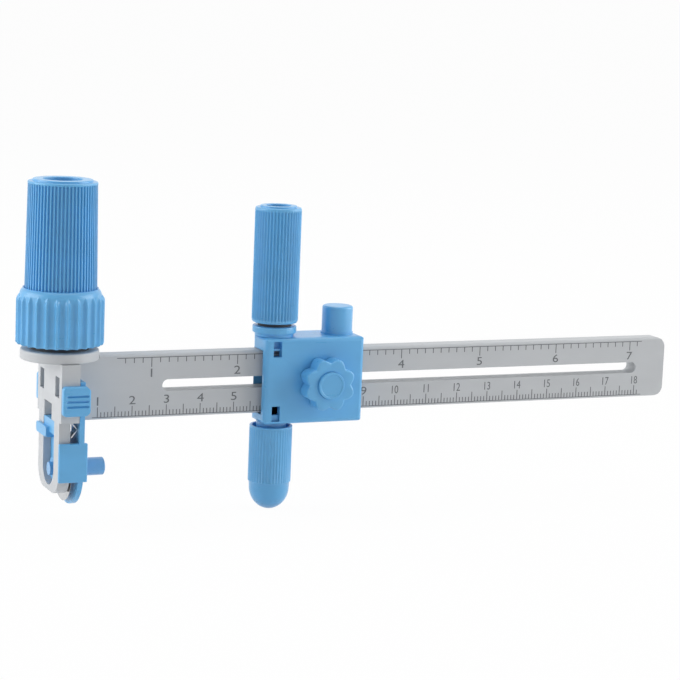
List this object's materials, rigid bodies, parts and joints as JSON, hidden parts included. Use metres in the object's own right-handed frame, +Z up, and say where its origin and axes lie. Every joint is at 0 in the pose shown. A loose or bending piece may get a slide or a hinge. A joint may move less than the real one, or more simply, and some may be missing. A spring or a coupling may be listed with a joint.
{
  "type": "compass cutter",
  "caption": "Compass cutter: a ruler with a sliding needle holder at one radius and a guarded rotary blade under a swivelling grip at its end.",
  "frame": {"origin": "the point where the blade touches the work, at the lowest point of its edge", "axes": "+X along the ruler away from the grip, +Y across the ruler away from the clamp knob, +Z up the grip"},
  "size_m": [0.2023, 0.0266, 0.0948],
  "materials": {
    "blue_plastic": "smooth moulded",
    "grey_plastic": "satin moulded",
    "dark_plastic": "matt",
    "steel": "ground and polished"
  },
  "bodies": {
    "frame": {"head_frame": "grey_plastic", "ruler_bar": "grey_plastic", "ruler_screw": "steel", "swivel_spindle": "steel", "neck_washer": "dark_plastic", "spindle_washer": "steel", "spindle_screw": "steel", "blade_carrier": "blue_plastic", "blade_pin": "blue_plastic", "blade_washers": "steel", "guard_spring": "steel"},
    "grip": {"grip_collar": "blue_plastic", "grip_barrel": "blue_plastic", "grip_bushes": "dark_plastic"},
    "blade": {"rotary_blade": "steel"},
    "guard": {"blade_guard": "blue_plastic"},
    "slider": {"slider_body": "blue_plastic", "slider_cover": "blue_plastic", "knob_washer": "dark_plastic", "pivot_collar": "blue_plastic", "handle_spindle": "steel", "handle_washer": "dark_plastic", "handle_screw": "steel", "needle_holder": "blue_plastic", "needle": "steel"},
    "knob": {"clamp_knob": "blue_plastic", "knob_cap": "blue_plastic", "clamp_screw": "steel"},
    "plate": {"clamp_plate": "steel"},
    "handle": {"pivot_handle": "blue_plastic", "handle_bushes": "dark_plastic"},
    "cap": {"needle_cap": "blue_plastic"}
  },
  "joints": [
    {"name": "grip_swivel", "type": "hinge", "parent": "frame", "child": "grip", "pos_m": [-0.0014, 0, 0.0439], "axis": [0, 0, 1], "continuous": true},
    {"name": "blade_spin", "type": "hinge", "parent": "frame", "child": "blade", "pos_m": [0, 0, 0.009], "axis": [1, 0, 0], "continuous": true},
    {"name": "guard_lift", "type": "slide", "parent": "frame", "child": "guard", "axis": [0, 0, 1], "range_m": [0, 0.004]},
    {"name": "radius_slide", "type": "slide", "parent": "frame", "child": "slider", "axis": [1, 0, 0], "range_m": [-0.0425, 0.1025]},
    {"name": "clamp_turn", "type": "hinge", "parent": "slider", "child": "knob", "pos_m": [0.0744, -0.0072, 0.0316], "axis": [0, -1, 0], "range_deg": [0, 360]},
    {"name": "clamp_release", "type": "slide", "parent": "slider", "child": "plate", "axis": [0, 1, 0], "range_m": [0, 0.0005]},
    {"name": "handle_turn", "type": "hinge", "parent": "slider", "child": "handle", "pos_m": [0.0616, 0, 0.0483], "axis": [0, 0, 1], "continuous": true},
    {"name": "cap_pull", "type": "slide", "parent": "slider", "child": "cap", "axis": [0, 0, -1], "range_m": [0, 0.026]}
  ],
  "couplings": [
    {"joint": "clamp_turn", "follows": "clamp_release", "rad_per_m": 12566}
  ]
}
